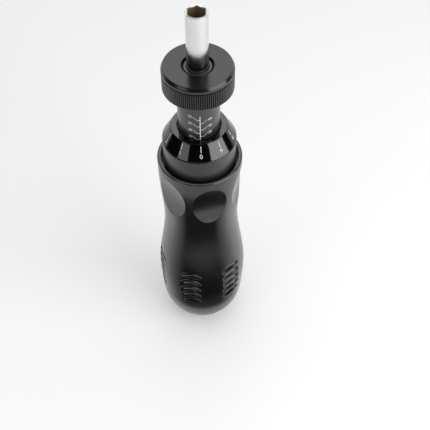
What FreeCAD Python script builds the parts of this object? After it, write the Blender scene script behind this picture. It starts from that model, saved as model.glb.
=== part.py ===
"""Adjustable torque screwdriver: moulded grip, micrometer-style scale, slip clutch and lock ring.

Millimetres, +Z up.  The driver stands on the flat ring of its butt, with the origin at the
middle of that ring and the hex bit holder pointing up.  Azimuths are in degrees about Z,
0 at the front (-Y) and growing towards the right (+X).

The radii are worked out from the middle outwards, from the hex socket to the skirt, and the
heights from the rim of the grip, up to the nose and down to the tail of the barrel.
"""

import FreeCAD
import Part

import math
import os

# ---------------------------------------------------------------- clearances
slip = 0.05            # radial play of what turns or slides
fit = 0.02             # radial play of what is pressed or screwed together
loose = 0.1            # play of washers, keys and rods that only have to pass
edge = 0.3             # small turned chamfers
round_share = 1 - math.sqrt(0.5)   # a quarter round's middle, inside its two sides

# ---------------------------------------------------------------- grip
grip_length = 113.0
butt_r = 9.5           # flat ring the driver stands on
belly_r, belly_z = 20.6, 39.0
heel_in, heel_z = 5.7, 7.0       # the stations round the belly, inside its radius
dome_in, dome_z = 2.1, 14.0
hip_in, hip_z = 0.5, 26.0
thigh_in, thigh_z = 1.7, 55.0
waist_r, waist_z = 16.6, 76.0
neck_in, neck_drop = 0.6, 21.0   # inside the collar's radius, below the rim
collar_drop = 8.0      # height of the straight collar under the rim
rim_wall = 1.5         # rim of the grip round the skirt
rim_round = 0.8

scoop_count = 6        # finger scoops round the collar
scoop_azimuth = 15.0   # of the scoop next to the front
scoop_arc_r = 45.0
scoop_floor_r = 16.0
scoop_drop = 17.0      # middle of the scoops, below the rim

panel_arc_rise = 17.0  # half height of the flat panels on the belly
panel_depth = 0.65
slot_count = 5         # grip slots in each panel
slot_pitch = 4.9
slot_height = 3.3
slot_depth = 2.5
slot_cutter_r = 8.8    # round-edged wheel that would mill a slot

# ---------------------------------------------------------------- turned outside, from the rim up
skirt_r = 15.2
skirt_gap = 1.2        # open groove between the skirt and the grip's rim
skirt_depth = 6.0      # skirt below the rim
skirt_stand = 10.1     # skirt above the rim
dial_height = 7.1
dial_groove, dial_groove_depth = 0.3, 0.8   # under the dial's rounded foot
dial_round, dial_edge = 0.35, 0.12
dial_lip = 2.5         # flat ring on top of the dial
scale_length = 20.0    # barrel in view between the dial and the lock ring
ring_r = 13.9
ring_height = 10.5
holder_stand = 23.6    # bit holder above the lock ring

# ---------------------------------------------------------------- bit holder and clutch
hex_af = 6.4
hex_depth = 13.0
hex_mouth_slope = 30.0     # of the countersink, from level
hex_mouth_margin = 0.12    # countersink outside the corners of the hex
holder_wall = 0.5          # metal outside the corners of the hex
holder_edge = 0.18
magnet_r, magnet_height = 2.9, 4.8
cam_height = 3.75
pilot_r, pilot_length = 2.2, 16.4
ball_r = 1.25          # clutch balls
ball_count = 6
ball_wall = 0.4        # metal outside the clutch balls
detent_count = 12      # dimples in the pressure plate, two per ball
ball_sink = 0.1        # ball centres under the cam's face
cam_gap = 0.9          # between the cam and the pressure plate
plate_height = 7.5
plate_boss = 3.0
key_count = 3
key_width, key_height, key_rise = 1.8, 4.5, 0.95

# ---------------------------------------------------------------- barrel
bush_wall = 1.35
bush_flange, bush_flange_height = 0.45, 1.5
bush_stand = 1.9       # bush above the barrel's end
thrust_washer_height = 0.5
rod_room = 0.55        # between the clutch parts and the bore of the barrel
barrel_wall = 1.85
end_wall_height = 4.05
flange_rise, flange_height = 2.15, 2.25
tail_length = 47.0     # barrel below the rim of the grip
dial_gap = 0.55        # round the barrel, inside the dial's lip

# ---------------------------------------------------------------- lock ring
top_wall = 2.4
ring_bore_gap = 0.75
cavity_gap = 0.9
knurl_count = 108
knurl_depth = 0.42
knurl_height = 7.6
knurl_crest = 0.3      # flat share of a tooth
retainer_height, retainer_recess = 1.0, 0.1
ring_wire, ring_turns = 0.8, 2.25
rod_r, rod_count, rod_sink = 0.7, 3, 0.03
rod_azimuth = 60.0
rod_grip = 1.2         # rod pressed into the ring's top wall
collar_height, collar_gap = 5.0, 2.2

# ---------------------------------------------------------------- setting screw and main spring
screw_r = 4.0
nut_height = 16.0
nut_flange = 1.5
finger_length = 8.5
finger_count = 4
finger_taper = 0.9
finger_wall = 0.4      # between the fingers and the rods
saw_width = 0.8
screw_margin = 2.0     # screw tip above the nut
thrust_ball_r = 1.75
ball_proud = 0.6       # thrust ball's centre above the screw tip
seat_height, seat_boss = 4.8, 3.0
main_wire, main_turns = 2.2, 9.0
web_z, web_height = 26.0, 10.0
washer_r, washer_height = 6.9, 1.2
head_r, head_height = 6.5, 8.0
head_hex_af, head_hex_depth = 6.0, 4.0
locknut_af, locknut_height = 13.0, 4.0
cap_recess, cap_thickness, cap_skirt, cap_wall = 0.6, 2.0, 5.5, 1.2
cap_dish, cap_dish_rim, cap_dish_slope = 0.4, 1.0, 0.4
barrel_room = 1.15     # round the barrel, inside the grip
spigot_wall, spigot_length = 4.0, 15.0
spigot_relief = 0.4    # undercut where the thread runs out under the skirt
neck_wall, neck_height = 1.7, 4.95
seal_r = 0.85          # section of the rubber ring that drags on the barrel
seal_drop = 7.0        # below the top of the skirt

# ================================================================ radii, from the middle outwards
hex_corner_r = hex_af / math.sqrt(3)
holder_r = hex_corner_r + holder_wall
bush_bore_r = holder_r + slip
bush_r = bush_bore_r + bush_wall
inner_r = bush_r + bush_flange                     # clutch parts, spring and seat
barrel_bore_r = inner_r + rod_room
barrel_r = barrel_bore_r + barrel_wall
rod_pitch_r = inner_r + rod_room / 2 + rod_r - rod_sink
ferrule_bore_r = barrel_r + slip
neck_r = ferrule_bore_r + neck_wall
spigot_r = ferrule_bore_r + spigot_wall
dial_bore_r = barrel_r + dial_gap
dial_top_r = dial_bore_r + dial_lip
counterbore_r = skirt_r + skirt_gap
collar_r = counterbore_r + rim_wall
grip_bore_r = barrel_r + barrel_room
cavity_r = washer_r + loose
main_mean_r = inner_r - slip - main_wire / 2
boss_r = main_mean_r - main_wire / 2 - loose
ball_pitch_r = inner_r - ball_r - ball_wall
nut_bore_r = screw_r + slip
flange_r = barrel_r + flange_rise
ring_cavity_r = flange_r + cavity_gap
ring_spring_r = barrel_r + flange_rise / 2 + loose
ring_bore_r = bush_r + ring_bore_gap
finger_tip_r = rod_pitch_r - rod_r - finger_wall
finger_root_r = finger_tip_r - finger_taper

# ================================================================ heights, from the rim of the grip
rim_z = grip_length
skirt_bottom_z = rim_z - skirt_depth
spigot_z = skirt_bottom_z - spigot_length
skirt_top_z = rim_z + skirt_stand
neck_top_z = skirt_top_z + neck_height
dial_top_z = skirt_top_z + dial_height
ring_z = dial_top_z + scale_length
ring_top_z = ring_z + ring_height
nose_z = ring_top_z + holder_stand

top_wall_z = ring_top_z - top_wall
barrel_top_z = top_wall_z - slip
flange_z = barrel_top_z - flange_height
end_wall_z = barrel_top_z - end_wall_height
retainer_z = ring_z + retainer_recess
retainer_top_z = retainer_z + retainer_height
bush_z = end_wall_z - bush_flange_height
thrust_washer_z = bush_z - thrust_washer_height
cam_top_z = thrust_washer_z - slip
cam_z = cam_top_z - cam_height
clutch_ball_z = cam_z - ball_sink
plate_top_z = cam_z - cam_gap
plate_z = plate_top_z - plate_height

tail_z = rim_z - tail_length
nut_top_z = tail_z + nut_height
flange_bottom_z = tail_z - nut_flange
finger_z = flange_bottom_z - finger_length
collar_top_z = flange_bottom_z - collar_gap
collar_z = collar_top_z - collar_height
screw_tip_z = nut_top_z + screw_margin
thrust_ball_z = screw_tip_z + ball_proud
seat_z = thrust_ball_z + ball_proud
seat_top_z = seat_z + seat_height
web_top_z = web_z + web_height

ORIGIN = FreeCAD.Vector(0, 0, 0)
UP = FreeCAD.Vector(0, 0, 1)
SIDEWAYS = FreeCAD.Vector(0, 1, 0)


# ================================================================ shared shapes
def turned(outline):
    """Solid turned about Z from a closed outline of (radius, height) corners."""
    corners = [FreeCAD.Vector(radius, 0, height) for radius, height in outline]
    return Part.Face(Part.makePolygon(corners + corners[:1])).revolve(ORIGIN, UP, 360)


def tube(inner, outer, low, high):
    return turned([(inner, low), (outer, low), (outer, high), (inner, high)])


def upright(radius, low, high, x=0.0):
    """Plain cylinder parallel to Z, x to the right of the middle."""
    return Part.makeCylinder(radius, high - low, FreeCAD.Vector(x, 0, low))


def ball(radius, height, x=0.0):
    return Part.makeSphere(radius, FreeCAD.Vector(x, 0, height))


def block(x_low, x_high, width, low, high):
    """Box on the +X side, as wide as width across Y."""
    corner = FreeCAD.Vector(x_low, -width / 2, low)
    return Part.makeBox(x_high - x_low, width, high - low, corner)


def prism(corners, low, high):
    """Upright prism on a closed list of (radius, azimuth) corners."""
    points = []
    for radius, azimuth in corners:
        angle = math.radians(azimuth - 90)
        points.append(FreeCAD.Vector(radius * math.cos(angle), radius * math.sin(angle), low))
    face = Part.Face(Part.makePolygon(points + points[:1]))
    return face.extrude(FreeCAD.Vector(0, 0, high - low))


def hexagon(across_flats, low, high):
    """Upright hexagonal prism with a corner to the front."""
    corner_r = across_flats / math.sqrt(3)
    return prism([(corner_r, 60 * turn) for turn in range(6)], low, high)


def facing(shape, azimuth):
    """Copy of a shape made on the +X side, turned to an azimuth."""
    copy = shape.copy()
    copy.rotate(ORIGIN, UP, azimuth - 90)
    return copy


def around(shape, count, first=0.0):
    """Evenly spaced copies of a shape made on the +X side."""
    return [facing(shape, first + turn * 360 / count) for turn in range(count)]


def coil(mean_r, wire, turns, low, high):
    """Round-wire compression spring between two heights."""
    height = high - low - wire
    helix = Part.makeHelix(height / turns, height, mean_r)
    helix.translate(FreeCAD.Vector(0, 0, low + wire / 2))
    section = Part.makeCircle(wire / 2, FreeCAD.Vector(mean_r, 0, low + wire / 2), SIDEWAYS)
    return Part.Wire(helix).makePipeShell([Part.Wire(section)], True, True)


# ================================================================ grip group
def grip_curve():
    """Side of the grip from the butt to the straight collar: dome, belly, waist, neck."""
    stations = [
        (butt_r, 0),
        (belly_r - heel_in, heel_z),
        (belly_r - dome_in, dome_z),
        (belly_r - hip_in, hip_z),
        (belly_r, belly_z),
        (belly_r - thigh_in, thigh_z),
        (waist_r, waist_z),
        (collar_r - neck_in, rim_z - neck_drop),
        (collar_r, rim_z - collar_drop),
    ]
    curve = Part.BSplineCurve()
    curve.interpolate([FreeCAD.Vector(radius, 0, height) for radius, height in stations])
    return curve


def grip_radius(height):
    """Radius of the grip's curved side at a height."""
    level = Part.makeLine(FreeCAD.Vector(0, 0, height), FreeCAD.Vector(2 * belly_r, 0, height))
    return level.distToShape(grip_curve().toShape())[1][0][0].x


def grip_blank():
    shoulder = FreeCAD.Vector(collar_r, 0, rim_z - collar_drop)
    rim_low = FreeCAD.Vector(collar_r, 0, rim_z - rim_round)
    rim_high = FreeCAD.Vector(collar_r - rim_round, 0, rim_z)
    rim_mid_in = rim_round * round_share
    rim_mid = FreeCAD.Vector(collar_r - rim_mid_in, 0, rim_z - rim_mid_in)
    butt = FreeCAD.Vector(butt_r, 0, 0)
    middle = FreeCAD.Vector(0, 0, rim_z)
    sides = [
        Part.makeLine(ORIGIN, butt),
        grip_curve().toShape(),
        Part.makeLine(shoulder, rim_low),
        Part.Arc(rim_low, rim_mid, rim_high).toShape(),
        Part.makeLine(rim_high, middle),
        Part.makeLine(middle, ORIGIN),
    ]
    return Part.Face(Part.Wire(sides)).revolve(ORIGIN, UP, 360)


def scoop_cutter():
    """Finger scoop: a large roller laid crosswise against the collar."""
    roller_x = scoop_floor_r + scoop_arc_r
    start = FreeCAD.Vector(roller_x, -collar_r, rim_z - scoop_drop)
    return Part.makeCylinder(scoop_arc_r, 2 * collar_r, start, SIDEWAYS)


def slot_cutter(middle_z):
    """Wheel with a half-round edge, which leaves a slot with pointed ends."""
    half = slot_height / 2
    wheel_x = grip_radius(middle_z) - slot_depth + slot_cutter_r
    core = upright(slot_cutter_r - half, middle_z - half, middle_z + half, wheel_x)
    centre = FreeCAD.Vector(wheel_x, 0, middle_z)
    return core.fuse(Part.makeTorus(slot_cutter_r - half, half, centre, UP))


def panel_cutter():
    """Lens-shaped flat on the belly and the grip slots across it."""
    low_z, high_z = belly_z - panel_arc_rise, belly_z + panel_arc_rise
    low = FreeCAD.Vector(grip_radius(low_z), -belly_r, low_z)
    mid = FreeCAD.Vector(belly_r - panel_depth, -belly_r, belly_z)
    high = FreeCAD.Vector(grip_radius(high_z), -belly_r, high_z)
    outside_x = belly_r + slot_cutter_r
    sides = [
        Part.Arc(low, mid, high).toShape(),
        Part.makeLine(high, FreeCAD.Vector(outside_x, -belly_r, high_z)),
        Part.makeLine(
            FreeCAD.Vector(outside_x, -belly_r, high_z), FreeCAD.Vector(outside_x, -belly_r, low_z)
        ),
        Part.makeLine(FreeCAD.Vector(outside_x, -belly_r, low_z), low),
    ]
    cutter = Part.Face(Part.Wire(sides)).extrude(FreeCAD.Vector(0, 2 * belly_r, 0))
    slots = []
    for index in range(slot_count):
        slots.append(slot_cutter(belly_z + (index - (slot_count - 1) / 2) * slot_pitch))
    return cutter.multiFuse(slots)


def handle_grip():
    """Moulded grip: threaded for the ferrule above, a web for the setting screw, open butt."""
    bores = [
        upright(counterbore_r, skirt_bottom_z, rim_z + edge),
        upright(spigot_r + fit, spigot_z, rim_z),
        upright(grip_bore_r, web_top_z, rim_z),
        upright(screw_r + fit, web_z - edge, web_top_z + edge),
        upright(cavity_r, -edge, web_z),
    ]
    scoops = around(scoop_cutter(), scoop_count, scoop_azimuth)
    panels = around(panel_cutter(), scoop_count, scoop_azimuth + 180 / scoop_count)
    return grip_blank().cut(bores).cut(scoops).cut(panels)


def butt_cap():
    """Push-in plug, a little under the flat ring, hollow behind and shallowly dished in front."""
    outer = cavity_r - fit
    inner = outer - cap_wall
    top = cap_recess + cap_thickness
    return turned([
        (0, cap_recess + cap_dish),
        (inner - cap_dish_rim - cap_dish_slope, cap_recess + cap_dish),
        (inner - cap_dish_rim, cap_recess),
        (outer - edge, cap_recess),
        (outer, cap_recess + edge),
        (outer, top + cap_skirt - edge),
        (outer - edge, top + cap_skirt),
        (inner, top + cap_skirt),
        (inner, top),
        (0, top),
    ])


def ferrule():
    """Skirted collar screwed into the grip: it guides the barrel and carries the dial."""
    seal_z = skirt_top_z - seal_drop
    body = turned([
        (ferrule_bore_r + edge, spigot_z),
        (spigot_r - edge, spigot_z),
        (spigot_r, spigot_z + edge),
        (spigot_r, skirt_bottom_z - 2 * spigot_relief),
        (spigot_r - spigot_relief, skirt_bottom_z - 2 * spigot_relief),
        (spigot_r - spigot_relief, skirt_bottom_z),
        (skirt_r - edge, skirt_bottom_z),
        (skirt_r, skirt_bottom_z + edge),
        (skirt_r, skirt_top_z - edge),
        (skirt_r - edge, skirt_top_z),
        (neck_r, skirt_top_z),
        (neck_r, neck_top_z - edge),
        (neck_r - edge, neck_top_z),
        (ferrule_bore_r, neck_top_z),
        (ferrule_bore_r, spigot_z + edge),
    ])
    groove = tube(0, ferrule_bore_r + 2 * seal_r, seal_z - seal_r, seal_z + seal_r)
    return body.cut(groove)


def barrel_seal():
    """Rubber ring in the ferrule's groove, which keeps dirt out and the setting from creeping."""
    section_r = seal_r - fit
    centre = FreeCAD.Vector(0, 0, skirt_top_z - seal_drop)
    return Part.makeTorus(ferrule_bore_r + seal_r, section_r, centre, UP)


def graduated_dial():
    """Conical dial pressed on the ferrule's neck, with a rounded foot above a narrow groove."""
    lip_z = neck_top_z + slip
    foot_z = skirt_top_z + dial_groove
    foot_mid_in = dial_round * round_share
    return turned([
        (neck_r + fit, skirt_top_z),
        (skirt_r - dial_groove_depth, skirt_top_z),
        (skirt_r - dial_groove_depth, foot_z),
        (skirt_r - dial_round, foot_z),
        (skirt_r - foot_mid_in, foot_z + foot_mid_in),
        (skirt_r, foot_z + dial_round),
        (dial_top_r, dial_top_z - dial_edge),
        (dial_top_r - dial_edge, dial_top_z),
        (dial_bore_r + dial_edge, dial_top_z),
        (dial_bore_r, dial_top_z - dial_edge),
        (dial_bore_r, lip_z),
        (neck_r + fit, lip_z),
    ])


def adjusting_screw():
    """Socket-head setting screw through the web, its tip hollowed for the thrust ball."""
    head_top = web_z - washer_height
    screw = turned([
        (0, head_top - head_height),
        (head_r - edge, head_top - head_height),
        (head_r, head_top - head_height + edge),
        (head_r, head_top),
        (screw_r, head_top),
        (screw_r, screw_tip_z - edge),
        (screw_r - edge, screw_tip_z),
        (0, screw_tip_z),
    ])
    socket = hexagon(head_hex_af, head_top - head_height, head_top - head_height + head_hex_depth)
    return screw.cut([socket, ball(thrust_ball_r + slip, thrust_ball_z)])


def screw_washers():
    """One washer under the screw's head and one under its nut, either side of the web."""
    inner = screw_r + edge
    lower = tube(inner, washer_r, web_z - washer_height, web_z)
    upper = tube(inner, washer_r, web_top_z, web_top_z + washer_height)
    return Part.makeCompound([lower, upper])


def screw_lock_nut():
    """Thin hexagon nut, corners turned off at both faces."""
    low = web_top_z + washer_height
    high = low + locknut_height
    corner_r = locknut_af / math.sqrt(3)
    inner = locknut_af / 2 - edge
    drop = (corner_r - inner) / 2
    blank = turned([
        (screw_r + fit, low),
        (inner, low),
        (corner_r, low + drop),
        (corner_r, high - drop),
        (inner, high),
        (screw_r + fit, high),
    ])
    return blank.common(hexagon(locknut_af, low, high))


def thrust_ball():
    return ball(thrust_ball_r, thrust_ball_z)


# ================================================================ spring seat group
def spring_seat():
    """Turned seat that rides on the thrust ball and centres the main spring."""
    seat = turned([
        (0, seat_z),
        (inner_r - 2 * edge, seat_z),
        (inner_r, seat_z + 2 * edge),
        (inner_r, seat_top_z),
        (boss_r, seat_top_z),
        (boss_r, seat_top_z + seat_boss - 2 * edge),
        (boss_r - 2 * edge, seat_top_z + seat_boss),
        (0, seat_top_z + seat_boss),
    ])
    return seat.cut(ball(thrust_ball_r + slip, thrust_ball_z))


def main_spring():
    return coil(main_mean_r, main_wire, main_turns, seat_top_z, plate_z)


# ================================================================ barrel group
def scale_barrel():
    """Barrel with an end wall and a shoulder for the lock ring, grooved inside for rods and keys."""
    body = turned([
        (barrel_bore_r, tail_z),
        (barrel_r - edge, tail_z),
        (barrel_r, tail_z + edge),
        (barrel_r, flange_z),
        (flange_r, flange_z),
        (flange_r, barrel_top_z),
        (bush_r + fit, barrel_top_z),
        (bush_r + fit, end_wall_z),
        (barrel_bore_r, end_wall_z),
    ])
    rod_groove = upright(rod_r + loose, tail_z - edge, barrel_top_z + edge, rod_pitch_r)
    slot_top = cam_z - 2 * edge
    slot_depth_r = inner_r + key_rise + 2 * loose
    key_slot = block(inner_r, slot_depth_r, key_width + 2 * loose, tail_z - edge, slot_top)
    cutters = around(rod_groove, rod_count, rod_azimuth)
    cutters += around(key_slot, key_count, rod_azimuth + 180 / key_count)
    return body.cut(cutters)


def barrel_nut():
    """Nut screwed into the barrel's tail, ending in split tapered fingers for the lock collar."""
    body = turned([
        (nut_bore_r, finger_z),
        (finger_tip_r, finger_z),
        (finger_root_r, flange_bottom_z),
        (barrel_r - fit, flange_bottom_z),
        (barrel_r - fit, tail_z),
        (barrel_bore_r - fit, tail_z),
        (barrel_bore_r - fit, nut_top_z),
        (nut_bore_r, nut_top_z),
    ])
    rod_hole = upright(rod_r + loose, finger_z, nut_top_z + edge, rod_pitch_r)
    saw_cut = block(0, finger_tip_r + edge, saw_width, finger_z - edge, flange_bottom_z - 2 * edge)
    cutters = around(rod_hole, rod_count, rod_azimuth) + around(saw_cut, finger_count)
    return body.cut(cutters)


def nose_bush():
    """Flanged plain bearing for the bit holder, showing inside the lock ring."""
    return turned([
        (bush_bore_r, bush_z),
        (inner_r, bush_z),
        (inner_r, end_wall_z),
        (bush_r, end_wall_z),
        (bush_r, barrel_top_z + bush_stand - edge),
        (bush_r - edge, barrel_top_z + bush_stand),
        (bush_bore_r + edge, barrel_top_z + bush_stand),
        (bush_bore_r, barrel_top_z + bush_stand - edge),
    ])


def thrust_washer():
    return tube(bush_bore_r + slip, inner_r - slip, thrust_washer_z, bush_z)


def ring_spring():
    """Return spring of the lock ring, between the ring's retainer and the barrel's shoulder."""
    return coil(ring_spring_r, ring_wire, ring_turns, retainer_top_z, flange_z)


# ================================================================ drive group
def drive_shaft():
    """Bit holder, clutch cam and pilot in one turned piece, with a magnetic hex socket."""
    socket_z = nose_z - hex_depth
    mouth_r = hex_corner_r + hex_mouth_margin
    mouth_z = nose_z - mouth_r * math.tan(math.radians(hex_mouth_slope))
    shaft = turned([
        (0, cam_z - pilot_length),
        (pilot_r - edge, cam_z - pilot_length),
        (pilot_r, cam_z - pilot_length + edge),
        (pilot_r, cam_z),
        (inner_r, cam_z),
        (inner_r, cam_top_z),
        (holder_r, cam_top_z),
        (holder_r, nose_z - holder_edge),
        (holder_r - holder_edge, nose_z),
        (0, nose_z),
    ])
    mouth = turned([(0, mouth_z), (mouth_r, nose_z), (0, nose_z)])
    cutters = [
        hexagon(hex_af, socket_z, nose_z + edge),
        upright(magnet_r + slip, socket_z - magnet_height, socket_z),
        mouth,
    ]
    pocket = ball(ball_r + slip, clutch_ball_z, ball_pitch_r)
    return shaft.cut(cutters + around(pocket, ball_count))


def bit_magnet():
    socket_z = nose_z - hex_depth
    return turned([
        (0, socket_z - magnet_height),
        (magnet_r, socket_z - magnet_height),
        (magnet_r, socket_z - edge),
        (magnet_r - edge, socket_z),
        (0, socket_z),
    ])


def clutch_balls():
    return Part.makeCompound(around(ball(ball_r, clutch_ball_z, ball_pitch_r), ball_count))


# ================================================================ pressure plate
def pressure_plate():
    """Keyed plate with a ring of dimples, pushed up against the clutch balls by the main spring."""
    plate = turned([
        (pilot_r + loose, plate_z - plate_boss),
        (boss_r - edge, plate_z - plate_boss),
        (boss_r, plate_z - plate_boss + edge),
        (boss_r, plate_z),
        (inner_r, plate_z),
        (inner_r, plate_top_z - edge),
        (inner_r - edge, plate_top_z),
        (pilot_r + loose, plate_top_z),
    ])
    key_low = plate_z + (plate_height - key_height) / 2
    key = block(boss_r, inner_r + key_rise, key_width, key_low, key_low + key_height)
    keys = around(key, key_count, rod_azimuth + 180 / key_count)
    dimple = ball(ball_r + slip, clutch_ball_z, ball_pitch_r)
    return plate.multiFuse(keys).cut(around(dimple, detent_count))


# ================================================================ lock ring group
def knurled_ring():
    """Cup-shaped lock ring: flat top, bevel and plain band above a band of straight knurling."""
    knurl_top = ring_z + knurl_height
    half_tooth = 180 / knurl_count
    teeth = []
    for tooth in range(knurl_count):
        middle = tooth * 360 / knurl_count
        teeth.append((ring_r, middle - half_tooth * knurl_crest))
        teeth.append((ring_r, middle + half_tooth * knurl_crest))
        teeth.append((ring_r - knurl_depth, middle + half_tooth))
    knurl = prism(teeth, ring_z, knurl_top)
    blank = turned([
        (0, ring_z),
        (ring_r - knurl_depth, ring_z),
        (ring_r, ring_z + knurl_depth),
        (ring_r, knurl_top),
        (0, knurl_top),
    ])
    head = turned([
        (0, knurl_top),
        (ring_r - knurl_depth, knurl_top),
        (ring_r - knurl_depth, knurl_top + edge),
        (ring_r, knurl_top + 2 * edge),
        (ring_r, ring_top_z - 4.5 * edge),
        (ring_r - edge / 2, ring_top_z - 4 * edge),
        (ring_r - 2 * edge, ring_top_z - edge / 2),
        (ring_r - 2.5 * edge, ring_top_z),
        (0, ring_top_z),
    ])
    rod_hole = upright(rod_r + fit, top_wall_z, top_wall_z + rod_grip, rod_pitch_r)
    cutters = [
        upright(ring_cavity_r, ring_z - edge, top_wall_z),
        upright(ring_bore_r, ring_z, ring_top_z + edge),
    ]
    cutters += around(rod_hole, rod_count, rod_azimuth)
    return knurl.common(blank).fuse(head).cut(cutters)


def ring_retainer():
    """Flat ring pressed into the bottom of the lock ring, sliding on the barrel."""
    return tube(barrel_r + loose, ring_cavity_r - fit, retainer_z, retainer_top_z)


def lock_rods():
    """Thin rods through the barrel wall that carry the lock ring's pull to the collar."""
    rod = upright(rod_r, collar_z + edge, top_wall_z + rod_grip, rod_pitch_r)
    return Part.makeCompound(around(rod, rod_count, rod_azimuth))


def lock_collar():
    """Tapered collar that closes the nut's fingers on the setting screw."""
    def cone_r(height):
        share = (flange_bottom_z - height) / finger_length
        return finger_root_r + finger_taper * share + slip

    outer = barrel_r - edge
    collar = turned([
        (cone_r(collar_z), collar_z),
        (outer - edge, collar_z),
        (outer, collar_z + edge),
        (outer, collar_top_z - edge),
        (outer - edge, collar_top_z),
        (cone_r(collar_top_z), collar_top_z),
    ])
    rod_hole = upright(rod_r + fit, collar_z + edge, collar_top_z + edge, rod_pitch_r)
    return collar.cut(around(rod_hole, rod_count, rod_azimuth))


# ================================================================ one file for each piece
PIECES = [
    handle_grip, butt_cap, ferrule, barrel_seal, graduated_dial,
    adjusting_screw, screw_washers, screw_lock_nut, thrust_ball,
    spring_seat, main_spring,
    scale_barrel, barrel_nut, nose_bush, thrust_washer, ring_spring,
    drive_shaft, bit_magnet, clutch_balls,
    pressure_plate,
    knurled_ring, ring_retainer, lock_rods, lock_collar,
]

os.makedirs("parts", exist_ok=True)
for piece in PIECES:
    piece().exportStep(f"parts/{piece.__name__}.step")
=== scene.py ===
"""Adjustable torque screwdriver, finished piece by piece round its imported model.

Metres, +Z up, the butt on the table and -Y in front.  Azimuths are in degrees, 0 in front
and growing to the right.
"""

import math

import bpy
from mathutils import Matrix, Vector


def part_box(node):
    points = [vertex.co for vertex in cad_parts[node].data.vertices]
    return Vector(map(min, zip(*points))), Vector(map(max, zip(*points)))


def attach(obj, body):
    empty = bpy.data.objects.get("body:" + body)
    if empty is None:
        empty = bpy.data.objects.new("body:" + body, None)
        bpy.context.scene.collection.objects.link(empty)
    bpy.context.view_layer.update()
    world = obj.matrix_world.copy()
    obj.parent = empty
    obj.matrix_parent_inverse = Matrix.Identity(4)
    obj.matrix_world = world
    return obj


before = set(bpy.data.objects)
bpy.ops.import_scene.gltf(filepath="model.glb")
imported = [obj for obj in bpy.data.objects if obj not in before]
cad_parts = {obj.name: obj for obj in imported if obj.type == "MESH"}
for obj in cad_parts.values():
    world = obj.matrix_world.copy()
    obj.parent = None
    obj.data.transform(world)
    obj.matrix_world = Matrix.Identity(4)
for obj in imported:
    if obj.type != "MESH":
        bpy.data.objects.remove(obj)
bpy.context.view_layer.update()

# ---------------------------------------------------------------- the camera
# A product camera looks down at the driver from in front and a little to its right, close
# enough for the nose to look larger than the butt.
MM = 0.001
camera_data = bpy.data.cameras.new("product_camera")
camera_data.sensor_width = 36.0
camera_data.lens = 62.8
camera_data.clip_start = 10 * MM
camera = bpy.data.objects.new("product_camera", camera_data)
camera.location = (6.4 * MM, -216 * MM, 343 * MM)
camera.rotation_euler = (math.radians(38.5), 0, 0)
bpy.context.scene.collection.objects.link(camera)
bpy.context.scene.camera = camera
bpy.context.scene.view_settings.view_transform = "Standard"


# ---------------------------------------------------------------- the table
# The driver stands on a matt white table top that reaches past every view.
class Wire:
    """A node's output on which Python's own sums add the Math nodes."""

    def __init__(self, tree, socket):
        self.tree = tree
        self.socket = socket

    def math(self, operation, *terms, **settings):
        settings["operation"] = operation
        return self.tree.node("ShaderNodeMath", settings, dict(enumerate(terms)))

    def __add__(self, other):
        return self.math("ADD", self, other)

    def __sub__(self, other):
        return self.math("SUBTRACT", self, other)

    def __rsub__(self, other):
        return self.math("SUBTRACT", other, self)

    def __mul__(self, other):
        return self.math("MULTIPLY", self, other)

    def __truediv__(self, other):
        return self.math("DIVIDE", self, other)

    def __rtruediv__(self, other):
        return self.math("DIVIDE", other, self)

    def __pow__(self, power):
        return self.math("POWER", self, power)

    __radd__ = __add__
    __rmul__ = __mul__

    def clamped(self):
        """The same value, held between 0 and 1."""
        return self.math("ADD", self, 0, use_clamp=True)

    def sine(self):
        return self.math("SINE", self)

    def cosine(self):
        return self.math("COSINE", self)

    def at_least(self, floor):
        return self.math("MAXIMUM", self, floor)


class Tree:
    """A node tree to which node() adds one node at a time."""

    def __init__(self, nodes):
        self.nodes = nodes

    def plug(self, node, sockets):
        for key, value in sockets.items():
            if isinstance(value, Wire):
                self.nodes.links.new(value.socket, node.inputs[key])
            else:
                node.inputs[key].default_value = value

    def node(self, kind, settings=None, sockets=None, output=0):
        """Adds a node, its settings first and then the values or wires of its sockets."""
        made = self.nodes.nodes.new(kind)
        for key, value in (settings or {}).items():
            setattr(made, key, value)
        self.plug(made, sockets or {})
        return Wire(self, made.outputs[output])

    def outputs(self, kind, names, settings=None, sockets=None):
        """Wires of several named outputs of one new node."""
        made = self.node(kind, settings, sockets).socket.node
        return [Wire(self, made.outputs[name]) for name in names]


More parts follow.
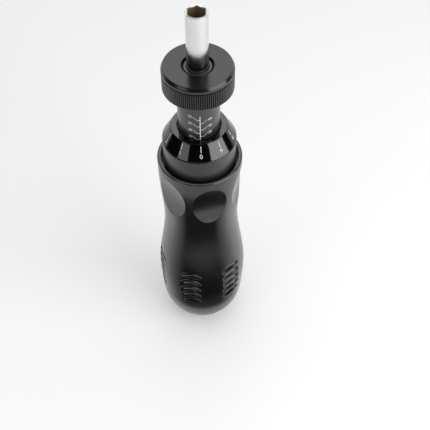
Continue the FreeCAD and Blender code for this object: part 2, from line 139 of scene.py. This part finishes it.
class Finish(Tree):
    """A material with one Principled shader, whose sockets are set by name."""

    def __init__(self, name, colour, **sockets):
        self.material = bpy.data.materials.new(name)
        self.material.use_nodes = True
        super().__init__(self.material.node_tree)
        self.shader = self.nodes.nodes["Principled BSDF"]
        self.set({"Base Color": (*colour, 1.0)})
        self.set({name.replace("_", " "): value for name, value in sockets.items()})

    def set(self, sockets):
        self.plug(self.shader, sockets)

    def place(self):
        """Wires of the object's own x, y and z, in metres."""
        spot = self.node("ShaderNodeTexCoord", output="Object")
        return self.outputs("ShaderNodeSeparateXYZ", "XYZ", {}, {0: spot})

    def grain(self, size, detail=2.0, stretch=(1, 1, 1)):
        """Blotches of a size in metres, from 0 to 1, drawn out along an axis by stretch."""
        spot = self.node("ShaderNodeTexCoord", output="Object")
        settings = {"operation": "DIVIDE"}
        spot = self.node("ShaderNodeVectorMath", settings, {0: spot, 1: stretch})
        sockets = {"Vector": spot, "Scale": 1 / size, "Detail": detail}
        return self.node("ShaderNodeTexNoise", {}, sockets)

    def tool_rings(self, size):
        """Rings left by turning: along the axis on sides, along the radius on faces."""
        x, y, z = self.place()
        across = z + (x * x + y * y) ** 0.5
        sockets = {"W": across, "Scale": 1 / size, "Detail": 3.0, "Roughness": 0.7}
        return self.node("ShaderNodeTexNoise", {"noise_dimensions": "1D"}, sockets)

    def worn(self, radius, gain):
        """Share of wear, 1 on outer edges sharper than a radius and 0 on even faces."""
        soft = self.node("ShaderNodeBevel", {"samples": 6}, {"Radius": radius})
        hard = self.outputs("ShaderNodeNewGeometry", ["Normal"])[0]
        settings = {"operation": "DOT_PRODUCT"}
        (even,) = self.outputs("ShaderNodeVectorMath", ["Value"], settings, {0: soft, 1: hard})
        return ((1 - even) * gain * self.grain(0.4 * MM)).clamped()

    def relief(self, height, depth, rounding):
        """Raises the surface by height times depth and rounds its edges by a small radius."""
        soft = self.node("ShaderNodeBevel", {"samples": 8}, {"Radius": rounding})
        sockets = {"Height": height, "Distance": depth, "Strength": 1.0, "Normal": soft}
        self.set({"Normal": self.node("ShaderNodeBump", {}, sockets)})

    def blend(self, share, first, second):
        """Colour that goes from first to second, colours or wires, with share."""
        ends = [end if isinstance(end, Wire) else (*end, 1.0) for end in (first, second)]
        sockets = {0: share, 6: ends[0], 7: ends[1]}
        return self.node("ShaderNodeMix", {"data_type": "RGBA"}, sockets, output=2)


def staged(name, points, faces, finish):
    """Adds a plain mesh that is part of the studio."""
    mesh = bpy.data.meshes.new(name)
    mesh.from_pydata(points, [], faces)
    mesh.materials.append(finish.material)
    stand = bpy.data.objects.new(name, mesh)
    bpy.context.scene.collection.objects.link(stand)
    return stand


table_half = 3.0
table_white = Finish("table_white", (0.92, 0.92, 0.92), Roughness=0.9, Specular_IOR_Level=0.1)
table_rays = table_white.outputs(
    "ShaderNodeLightPath", ["Is Camera Ray", "Is Glossy Ray", "Is Transmission Ray"]
)
table_glow = 0.16 * (table_rays[0] + table_rays[1] + table_rays[2])
table_white.set({"Emission Color": (1, 1, 1, 1), "Emission Strength": table_glow})
table_corners = [(-1, -1), (1, -1), (1, 1), (-1, 1)]
staged(
    "table_top",
    [(x * table_half, y * table_half, 0) for x, y in table_corners],
    [(0, 1, 2, 3)],
    table_white,
)


# ---------------------------------------------------------------- the lamps
# Soft boxes stand at both front corners, the right one larger and brighter, and hang
# overhead and behind; black flags, seen in reflections only, give the gloss something dark.
def soft_box(name, azimuth, distance, height, size, radiance):
    """Square lamp of an even radiance, aimed at the upper half of the driver."""
    lamp = bpy.data.lights.new(name, "AREA")
    lamp.shape = "SQUARE"
    lamp.size = size
    lamp.energy = radiance * math.pi * size * size
    box = bpy.data.objects.new(name, lamp)
    turn = math.radians(azimuth)
    box.location = (distance * math.sin(turn), -distance * math.cos(turn), height)
    aim = Vector((0, 0, 0.13)) - Vector(box.location)
    box.rotation_euler = aim.to_track_quat("-Z", "Y").to_euler()
    box.visible_camera = False
    bpy.context.scene.collection.objects.link(box)


soft_box("soft_box_right", azimuth=59, distance=0.62, height=0.24, size=0.62, radiance=3.0)
soft_box("soft_box_left", azimuth=-45, distance=0.70, height=0.24, size=0.34, radiance=1.2)
soft_box("soft_box_top", azimuth=0, distance=0.02, height=1.05, size=0.95, radiance=1.0)
soft_box("soft_box_rear", azimuth=180, distance=0.75, height=1.05, size=0.55, radiance=0.9)

flag_colour = (0.005, 0.005, 0.005)
flag_black = Finish("flag_black", flag_colour, Roughness=1.0)
flag_soft = Finish("flag_black_soft", flag_colour, Roughness=1.0)
soft_first, soft_last = 42, 92
flag_x, flag_y = flag_soft.place()[:2]
flag_turn = flag_x.math("ABSOLUTE", flag_x.math("ARCTAN2", flag_x, 0 - flag_y))
flag_fade = (math.radians(soft_last) - flag_turn) / math.radians(soft_last - soft_first)
flag_soft.set({"Alpha": flag_fade.clamped()})


def flag(name, finish, first, last, near, far):
    """Black card bent round the driver between two azimuths, seen in reflections only.

    Near and far are the (radius, height) of its two long edges.
    """
    steps = 24
    points = []
    for radius, height in (near, far):
        for step in range(steps + 1):
            turn = math.radians(first + (last - first) * step / steps)
            points.append((radius * math.sin(turn), -radius * math.cos(turn), height))
    faces = [(i, i + steps + 1, i + steps + 2, i + 1) for i in range(steps)]
    card = staged(name, points, faces, finish)
    card.visible_camera = False
    card.visible_diffuse = False
    card.visible_shadow = False
    card.visible_transmission = False


flag_lift = 0.2 * MM
for flag_name, flag_near, flag_far in (
    ("flag_below_grip", 29 * MM, 101 * MM),
    ("flag_below_ring", 129 * MM, 141 * MM),
):
    flag(
        flag_name, flag_soft, -soft_last, soft_last, (flag_near, flag_lift), (flag_far, flag_lift)
    )
front_distance, front_low, front_high = 1.0, 2 * MM, 2.0
flag(
    "flag_in_front",
    flag_black,
    -104,
    108,
    (front_distance, front_low),
    (front_distance, front_high),
)

studio_walls = 0.42
studio_shown = 0.5
world = bpy.data.worlds.new("studio")
world.use_nodes = True
walls = Tree(world.node_tree)
walls_rays = walls.outputs(
    "ShaderNodeLightPath", ["Is Camera Ray", "Is Glossy Ray", "Is Transmission Ray"]
)
walls_light = studio_walls + studio_shown * (walls_rays[0] + walls_rays[1] + walls_rays[2])
background = world.node_tree.nodes["Background"]
walls.plug(background, {"Color": (1, 1, 1, 1), "Strength": walls_light})
bpy.context.scene.world = world


# ---------------------------------------------------------------- the grip
# One moulding in hard black plastic, with a fine spark-eroded skin from the mould that
# handling has polished in patches.
class Pattern(Tree):
    """A Geometry Nodes tree with named inputs."""

    def __init__(self, name, numbers=(), on_mesh=False):
        group = bpy.data.node_groups.new(name, "GeometryNodeTree")
        super().__init__(group)
        if on_mesh:
            self.socket("Mesh", "INPUT", "NodeSocketGeometry")
        for number in numbers:
            self.socket(number, "INPUT", "NodeSocketFloat")
        self.socket("Mesh", "OUTPUT", "NodeSocketGeometry")
        self.entry = group.nodes.new("NodeGroupInput")
        self.exit = group.nodes.new("NodeGroupOutput")

    def socket(self, name, way, kind):
        self.nodes.interface.new_socket(name, in_out=way, socket_type=kind)

    def given(self, name):
        return Wire(self, self.entry.outputs[name])

    def give(self, mesh):
        self.nodes.links.new(mesh.socket, self.exit.inputs[0])

    def use(self, target, sizes=None):
        """Puts the tree on an object, its inputs set by the sockets' identifiers."""
        modifier = target.modifiers.new(self.nodes.name, "NODES")
        modifier.node_group = self.nodes
        for item in self.nodes.interface.items_tree:
            if item.in_out == "INPUT" and item.name in (sizes or {}):
                modifier[item.identifier] = sizes[item.name]


def soft_shading():
    """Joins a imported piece's triangles and shades it smooth up to a crease angle."""
    tree = Pattern("joined_and_smooth", ["Crease"], on_mesh=True)
    sockets = {"Geometry": tree.given("Mesh"), "Distance": MM / 1000}
    joined = tree.node("GeometryNodeMergeByDistance", {}, sockets)
    smooth = tree.node("GeometryNodeSetShadeSmooth", {}, {"Geometry": joined})
    angle = tree.node("GeometryNodeInputMeshEdgeAngle")
    settings = {"data_type": "FLOAT", "operation": "GREATER_THAN"}
    sharp = tree.node("FunctionNodeCompare", settings, {0: angle, 1: tree.given("Crease")})
    sockets = {"Geometry": smooth, "Selection": sharp, "Shade Smooth": False}
    tree.give(tree.node("GeometryNodeSetShadeSmooth", {"domain": "EDGE"}, sockets))
    return tree


smoothing = soft_shading()


def dress(node, finish, crease=24):
    """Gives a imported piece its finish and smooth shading."""
    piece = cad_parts[node]
    piece.data.materials.clear()
    piece.data.materials.append(finish.material)
    smoothing.use(piece, {"Crease": math.radians(crease)})


grip_plastic = Finish("moulded_grip_plastic", (0.003, 0.003, 0.0033), IOR=1.8)
grip_skin = grip_plastic.grain(0.3 * MM, detail=3.0)
grip_handled = grip_plastic.grain(14 * MM, detail=3.0)
grip_plastic.set({"Roughness": 0.15 + 0.08 * grip_handled + 0.05 * grip_skin})
grip_plastic.set({"Base Color": grip_plastic.blend(
    grip_handled, (0.002, 0.002, 0.0022), (0.005, 0.005, 0.0053)
)})
grip_plastic.relief(grip_skin, 0.003 * MM, 0.25 * MM)
dress("handle_grip", grip_plastic, crease=11)

# ---------------------------------------------------------------- the butt cap
# A plug of the same plastic, pushed into the grip over the head of the setting screw, duller
# than the grip where it has slid over benches.
cap_plastic = Finish("cap_plastic", (0.012, 0.012, 0.013))
cap_scuffs = cap_plastic.grain(0.5 * MM, detail=4.0, stretch=(6, 1, 1))
cap_plastic.set({"Roughness": 0.32 + 0.2 * cap_scuffs})
cap_plastic.relief(cap_scuffs, 0.004 * MM, 0.15 * MM)
dress("butt_cap", cap_plastic)

# ---------------------------------------------------------------- the setting screw
# A socket-head screw, its washers and thin lock nut, turned from steel bar and left bright;
# they hold the stack in the web of the grip.
turned_steel = Finish("turned_steel", (0.45, 0.45, 0.46), Metallic=1.0)
steel_rings = turned_steel.tool_rings(0.15 * MM)
steel_stain = turned_steel.grain(2.2 * MM, detail=3.0)
turned_steel.set({"Roughness": 0.24 + 0.12 * steel_rings + 0.08 * steel_stain})
turned_steel.set({"Base Color": turned_steel.blend(
    steel_stain, (0.5, 0.5, 0.51), (0.38, 0.375, 0.36)
)})
turned_steel.relief(steel_rings, 0.002 * MM, 0.08 * MM)
for steel_piece in ("adjusting_screw", "screw_washers", "screw_lock_nut"):
    dress(steel_piece, turned_steel)

# ---------------------------------------------------------------- the spring seat
# A hardened ball in the screw's tip carries a turned seat, and a coil spring of heavy round
# wire stands on that, black from its heat treatment and oiled.
ball_steel = Finish("polished_ball_steel", (0.7, 0.7, 0.72), Metallic=1.0)
ball_steel.set({"Roughness": 0.06 + 0.06 * ball_steel.grain(0.6 * MM)})
dress("thrust_ball", ball_steel)
dress("spring_seat", turned_steel)
spring_steel = Finish("oiled_spring_steel", (0.2, 0.2, 0.21), Metallic=1.0)
spring_scale = spring_steel.grain(1.4 * MM, detail=4.0)
spring_steel.set({"Roughness": 0.25 + 0.2 * spring_scale})
spring_steel.set({"Base Color": spring_steel.blend(
    spring_scale, (0.12, 0.12, 0.13), (0.3, 0.29, 0.28)
)})
dress("main_spring", spring_steel)

# ---------------------------------------------------------------- the ferrule
# A skirted collar turned from aluminium and anodised black over the faint rings of the
# tool, screwed into the grip; a rubber ring in its bore keeps dirt out.
skirt_anodised = Finish("satin_anodised_skirt", (0.02, 0.02, 0.02), IOR=1.65)
skirt_rings = skirt_anodised.tool_rings(0.22 * MM)
skirt_anodised.set({"Roughness": 0.26 + 0.12 * skirt_rings})
skirt_anodised.set({"Base Color": skirt_anodised.blend(
    skirt_anodised.worn(0.12 * MM, 1.2), (0.018, 0.018, 0.0185), (0.16, 0.16, 0.16)
)})
skirt_anodised.relief(skirt_rings, 0.0015 * MM, 0.08 * MM)
dress("ferrule", skirt_anodised)
seal_rubber = Finish("seal_rubber", (0.02, 0.02, 0.02))
seal_skin = seal_rubber.grain(0.2 * MM)
seal_rubber.set({"Roughness": 0.4 + 0.2 * seal_skin})
seal_rubber.relief(seal_skin, 0.003 * MM, 0.05 * MM)
dress("barrel_seal", seal_rubber)

# ---------------------------------------------------------------- the dial
# A cone polished before it was anodised deep black, pressed on the ferrule's neck, its ten
# graduations and figures cut shallow and filled with white.
dial_anodised = Finish("polished_anodised_dial", (0.001, 0.001, 0.001), IOR=1.75)
dial_rings = dial_anodised.tool_rings(0.2 * MM)
dial_anodised.set({"Roughness": 0.06 + 0.05 * dial_rings})
dial_anodised.relief(dial_rings, 0.0003 * MM, 0.1 * MM)
dress("graduated_dial", dial_anodised)

white_filling = Finish("white_filling", (0.85, 0.85, 0.85))
filling_skin = white_filling.grain(0.12 * MM, detail=3.0)
white_filling.set({"Roughness": 0.5 + 0.2 * filling_skin})
white_filling.set({"Base Color": white_filling.blend(
    filling_skin, (0.85, 0.85, 0.84), (0.55, 0.55, 0.55)
)})
filling_thickness, filling_lift = 0.03 * MM, 0.012 * MM


def bar(tree, length, thickness, width, steps):
    """A closed bar along X, cut into steps so that it can follow a round surface."""
    size = tree.node("ShaderNodeCombineXYZ", {}, {0: length, 1: thickness, 2: width})
    sockets = {"Size": size, "Vertices X": steps, "Vertices Y": 2, "Vertices Z": 2}
    return tree.node("GeometryNodeMeshCube", {}, sockets)


def position(tree):
    """Wires of a point's own x, y and z."""
    spot = tree.node("GeometryNodeInputPosition")
    return tree.outputs("ShaderNodeSeparateXYZ", "XYZ", {}, {0: spot})


def moved(tree, mesh, x, y, z):
    """The same mesh with every point moved to x, y and z."""
    spot = tree.node("ShaderNodeCombineXYZ", {}, {0: x, 1: y, 2: z})
    return tree.node("GeometryNodeSetPosition", {}, {"Geometry": mesh, "Position": spot})


def copies(tree, points, mesh, turn):
    """Realised copies of a mesh, one on each point, each turned about Z."""
    turned = tree.node("ShaderNodeCombineXYZ", {}, {2: turn})
    sockets = {0: points, "Instance": mesh, "Rotation": turned}
    placed = tree.node("GeometryNodeInstanceOnPoints", {}, sockets)
    return tree.node("GeometryNodeRealizeInstances", {}, {0: placed})


def filled(tree, mesh):
    """Ends a tree of marks with the white filling."""
    sockets = {"Geometry": mesh, "Material": white_filling.material}
    tree.give(tree.node("GeometryNodeSetMaterial", {}, sockets))
    return tree


def marks_piece(name, mesh, body):
    """Puts a plain mesh of marks on a body."""
    mesh.name = name
    piece = bpy.data.objects.new(name, mesh)
    bpy.context.scene.collection.objects.link(piece)
    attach(piece, body)


def marks_from(tree, sizes, name, body):
    """Runs a tree on an empty mesh and keeps the result as a plain mesh on a body."""
    maker = bpy.data.objects.new(name, bpy.data.meshes.new(name))
    bpy.context.scene.collection.objects.link(maker)
    tree.use(maker, sizes)
    bpy.context.view_layer.update()
    made = maker.evaluated_get(bpy.context.evaluated_depsgraph_get())
    mesh = bpy.data.meshes.new_from_object(made)
    bpy.data.objects.remove(maker)
    marks_piece(name, mesh, body)


dial_low, dial_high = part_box("graduated_dial")
dial_foot_height = 0.65 * MM
dial_base_r, dial_top_r = dial_high[0], 11.495 * MM
dial_base_z = dial_low[2] + dial_foot_height
dial_lean = math.atan2(dial_base_r - dial_top_r, dial_high[2] - dial_base_z)
dial_zero = 4.0
dial_count = 10


def dial_marks():
    """Bars that lie on the dial's cone and point at the barrel."""
    tree = Pattern("dial_graduations", [
        "Count", "Length", "Width", "Radius", "Height", "Lean", "Zero",
    ])
    lean = tree.given("Lean")
    tick = bar(tree, tree.given("Width"), filling_thickness, tree.given("Length"), 3)
    x, y, z = position(tree)
    outwards = y * lean.cosine() + z * lean.sine() - tree.given("Radius")
    upwards = z * lean.cosine() - y * lean.sine() + tree.given("Height")
    tick = moved(tree, tick, x, outwards, upwards)
    points = tree.node("GeometryNodePoints", {}, {"Count": tree.given("Count")})
    index = tree.node("GeometryNodeInputIndex")
    turn = tree.given("Zero") + index * math.tau / tree.given("Count")
    return filled(tree, copies(tree, points, tick, turn))


tick_height = 4.6 * MM
dial_sizes = {
    "Count": float(dial_count),
    "Length": 2.6 * MM,
    "Width": 0.3 * MM,
    "Radius": dial_base_r - tick_height * math.tan(dial_lean) + filling_lift,
    "Height": dial_base_z + tick_height,
    "Lean": dial_lean,
    "Zero": math.radians(dial_zero),
}
marks_from(dial_marks(), dial_sizes, "dial_lines", "handle")


def figure(digits, height):
    """Points and faces of a number, x to the right and y upwards from its middle."""
    capital_share = 0.73
    text = bpy.data.curves.new("figure", "FONT")
    text.body = digits
    text.align_x = "CENTER"
    text.size = height / capital_share
    text.extrude = filling_thickness / 2
    text.resolution_u = 3
    drawn = bpy.data.objects.new("figure", text)
    bpy.context.scene.collection.objects.link(drawn)
    bpy.context.view_layer.update()
    made = drawn.evaluated_get(bpy.context.evaluated_depsgraph_get())
    mesh = bpy.data.meshes.new_from_object(made)
    points = [(point.co.x, point.co.y - height / 2, point.co.z) for point in mesh.vertices]
    faces = [tuple(face.vertices) for face in mesh.polygons]
    bpy.data.objects.remove(drawn)
    bpy.data.meshes.remove(mesh)
    return points, faces


def figures_mesh(figures):
    """One mesh of many figures, each of points already in place and its faces."""
    points, faces = [], []
    for spots, sides in figures:
        first = len(points)
        points += spots
        faces += [tuple(first + corner for corner in side) for side in sides]
    mesh = bpy.data.meshes.new("figures")
    mesh.from_pydata(points, [], faces)
    mesh.materials.append(white_filling.material)
    return mesh


def on_dial(azimuth, across, height, out):
    """Point by the dial's cone: across to the right, height above its base, out from it."""
    radius = dial_base_r - height * math.tan(dial_lean) + out * math.cos(dial_lean)
    turn = math.radians(azimuth) + across / radius
    z = dial_base_z + height + out * math.sin(dial_lean)
    return (radius * math.sin(turn), -radius * math.cos(turn), z)


dial_figure_height, dial_figure_z = 1.9 * MM, 2.15 * MM
dial_figures = []
for number in range(dial_count):
    azimuth = dial_zero - 360 / dial_count * number
    spots, sides = figure(str(number), dial_figure_height)
    placed = [
        on_dial(azimuth, x, dial_figure_z + y * math.cos(dial_lean), filling_lift + z)
        for x, y, z in spots
    ]
    dial_figures.append((placed, sides))
marks_piece("dial_figures", figures_mesh(dial_figures), "handle")

# ---------------------------------------------------------------- the barrel
# A satin anodised tube with a herring-bone scale filled with white: a line up the front,
# with strokes to the left and right in turn that each lead up to a figure.
barrel_anodised = Finish("satin_anodised_barrel", (0.022, 0.022, 0.0225), IOR=1.7)
barrel_rings = barrel_anodised.tool_rings(0.2 * MM)
barrel_anodised.set({"Roughness": 0.2 + 0.12 * barrel_rings})
barrel_anodised.relief(barrel_rings, 0.0015 * MM, 0.08 * MM)
dress("scale_barrel", barrel_anodised)

barrel_turned_r = 8.445 * MM
scale_azimuth = 4.5
scale_count = 7
scale_first = dial_high[2] - 0.4 * MM
scale_pitch = 1.76 * MM


def scale_marks():
    """Strokes to the left and right in turn, up a middle line, rolled round the barrel."""
    tree = Pattern("herring_bone_scale", [
        "Count", "First", "Pitch", "Reach", "Tip", "Rise", "Stroke", "Line", "Top", "Radius", "Zero",
    ])
    reach, tip, radius = tree.given("Reach"), tree.given("Tip"), tree.given("Radius")
    stroke = bar(tree, tip, filling_thickness, tree.given("Stroke"), 14)
    x, y, z = position(tree)
    x = x + tip / 2
    beyond = (x - reach).at_least(0) / (tip - reach)
    stroke = moved(tree, stroke, x, y, z + tree.given("Rise") * beyond)
    points = tree.node("GeometryNodePoints", {}, {"Count": tree.given("Count")})
    index = tree.node("GeometryNodeInputIndex")
    points = moved(tree, points, 0, 0, tree.given("First") + tree.given("Pitch") * index)
    strokes = copies(tree, points, stroke, math.pi * (index + 1))
    low, top = tree.given("First") - tree.given("Line"), tree.given("Top")
    line = bar(tree, tree.given("Line"), filling_thickness, top - low, 4)
    x, y, z = position(tree)
    line = moved(tree, line, x, y, z + (low + top) / 2)
    both = tree.node("GeometryNodeJoinGeometry")
    for part in (strokes, line):
        tree.plug(both.socket.node, {0: part})
    x, y, z = position(tree)
    turn = x / radius + tree.given("Zero")
    out = radius - y
    return filled(tree, moved(tree, both, out * turn.sine(), 0 - out * turn.cosine(), z))


scale_sizes = {
    "Count": float(scale_count),
    "First": scale_first,
    "Pitch": scale_pitch,
    "Reach": 1.2 * MM,
    "Tip": 2.9 * MM,
    "Rise": 1.5 * MM,
    "Stroke": 0.2 * MM,
    "Line": 0.3 * MM,
    "Top": scale_first + 12.4 * MM,
    "Radius": barrel_turned_r + filling_lift,
    "Zero": math.radians(scale_azimuth),
}
marks_from(scale_marks(), scale_sizes, "scale_lines", "barrel")

scale_figure_height, scale_figure_rise, scale_figure_across = 1.25 * MM, 1.55 * MM, 4.05 * MM
scale_figures = []
for mark in range(scale_count):
    side = 1 if mark % 2 else -1
    spots, sides = figure(str(10 * (mark + 1)), scale_figure_height)
    middle_z = scale_first + scale_pitch * mark + scale_figure_rise
    placed = []
    for x, y, z in spots:
        turn = (x + side * scale_figure_across) / barrel_turned_r + math.radians(scale_azimuth)
        out = barrel_turned_r + filling_lift + z
        placed.append((out * math.sin(turn), -out * math.cos(turn), middle_z + y))
    scale_figures.append((placed, sides))
marks_piece("scale_figures", figures_mesh(scale_figures), "barrel")

# ---------------------------------------------------------------- the barrel's brass
# The long nut screwed into the barrel's tail and the thrust washer under the bush, both
# machined from brass and dulled by handling.
brass = Finish("machined_brass", (0.62, 0.44, 0.18), Metallic=1.0)
brass_tarnish = brass.grain(1.6 * MM, detail=4.0)
brass.set({"Roughness": 0.22 + 0.22 * brass_tarnish})
brass.set({"Base Color": brass.blend(brass_tarnish, (0.7, 0.5, 0.2), (0.42, 0.28, 0.11))})
brass.relief(brass.tool_rings(0.18 * MM), 0.002 * MM, 0.08 * MM)
dress("barrel_nut", brass)
dress("thrust_washer", brass)

# ---------------------------------------------------------------- the clutch
# Six polished balls, held by the bit holder's cam, press into the dimples of a keyed plate.
dress("pressure_plate", turned_steel)
dress("clutch_balls", ball_steel)

# ---------------------------------------------------------------- the bit holder
# One turned spindle, tumbled and chromed, with a broached hex socket that stayed brown
# inside, and a nickel-plated magnet at the bottom of it.
holder_top_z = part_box("drive_shaft")[1][2]
rim_height, brown_fade = 0.3 * MM, 0.8 * MM
socket_r, socket_fade = 3.78 * MM, 0.06 * MM
holder_chrome = Finish("tumbled_chrome", (0.86, 0.86, 0.87), Metallic=1.0)
chrome_peel = (3 * holder_chrome.grain(0.3 * MM, detail=3.0) - 1).clamped()
chrome_cloud = holder_chrome.grain(3.0 * MM)
x, y, z = holder_chrome.place()
socket_depth = (holder_top_z - rim_height - z) / brown_fade
socket_inside = (socket_r - (x * x + y * y) ** 0.5) / socket_fade
socket_share = socket_depth.clamped() * socket_inside.clamped()
holder_chrome.set({"Base Color": holder_chrome.blend(
    socket_share,
    holder_chrome.blend(chrome_peel, (0.8, 0.8, 0.81), (0.6, 0.6, 0.61)),
    holder_chrome.blend(chrome_cloud, (0.36, 0.25, 0.14), (0.2, 0.13, 0.07)),
)})
holder_chrome.set({"Metallic": 1 - 0.7 * socket_share})
holder_chrome.set({"Roughness": 0.13 + 0.1 * chrome_cloud + 0.2 * socket_share})
holder_chrome.relief(chrome_peel, 0.008 * MM, 0.1 * MM)
dress("drive_shaft", holder_chrome)
magnet_nickel = Finish("nickel_plated_magnet", (0.5, 0.46, 0.4), Metallic=1.0)
magnet_nickel.set({"Roughness": 0.3 + 0.2 * magnet_nickel.grain(0.8 * MM)})
dress("bit_magnet", magnet_nickel)

# ---------------------------------------------------------------- the nose bush
# A flanged plain bearing for the bit holder, turned from steel, blackened, and pressed into
# the barrel's end wall; the holder keeps its edges bright.
bush_steel = Finish("blackened_bush_steel", (0.12, 0.12, 0.12), Metallic=1.0)
bush_rings = bush_steel.tool_rings(0.14 * MM)
bush_steel.set({"Roughness": 0.3 + 0.12 * bush_rings})
bush_steel.set({"Base Color": bush_steel.blend(
    bush_steel.worn(0.1 * MM, 1.5), (0.1, 0.1, 0.102), (0.4, 0.4, 0.4)
)})
bush_steel.relief(bush_rings, 0.002 * MM, 0.06 * MM)
dress("nose_bush", bush_steel)

# ---------------------------------------------------------------- the lock ring
# A cup turned from bar, straight-knurled, faced flat on top and anodised black, rubbed a
# little lighter on its edges; a flat retainer keeps its return spring in.
ring_anodised = Finish("anodised_lock_ring", (0.006, 0.006, 0.0065), IOR=1.6)
ring_rings = ring_anodised.tool_rings(0.16 * MM)
ring_anodised.set({"Roughness": 0.16 + 0.12 * ring_rings})
ring_anodised.set({"Base Color": ring_anodised.blend(
    ring_anodised.worn(0.12 * MM, 1.0), (0.006, 0.006, 0.0065), (0.06, 0.06, 0.06)
)})
ring_anodised.relief(ring_rings, 0.001 * MM, 0.08 * MM)
dress("knurled_ring", ring_anodised)
dress("ring_retainer", ring_anodised)
dress("ring_spring", spring_steel)

# ---------------------------------------------------------------- the lock
# Three thin rods join the ring to a tapered collar, which closes the nut's fingers on the
# setting screw.
dress("lock_rods", turned_steel)
dress("lock_collar", turned_steel)
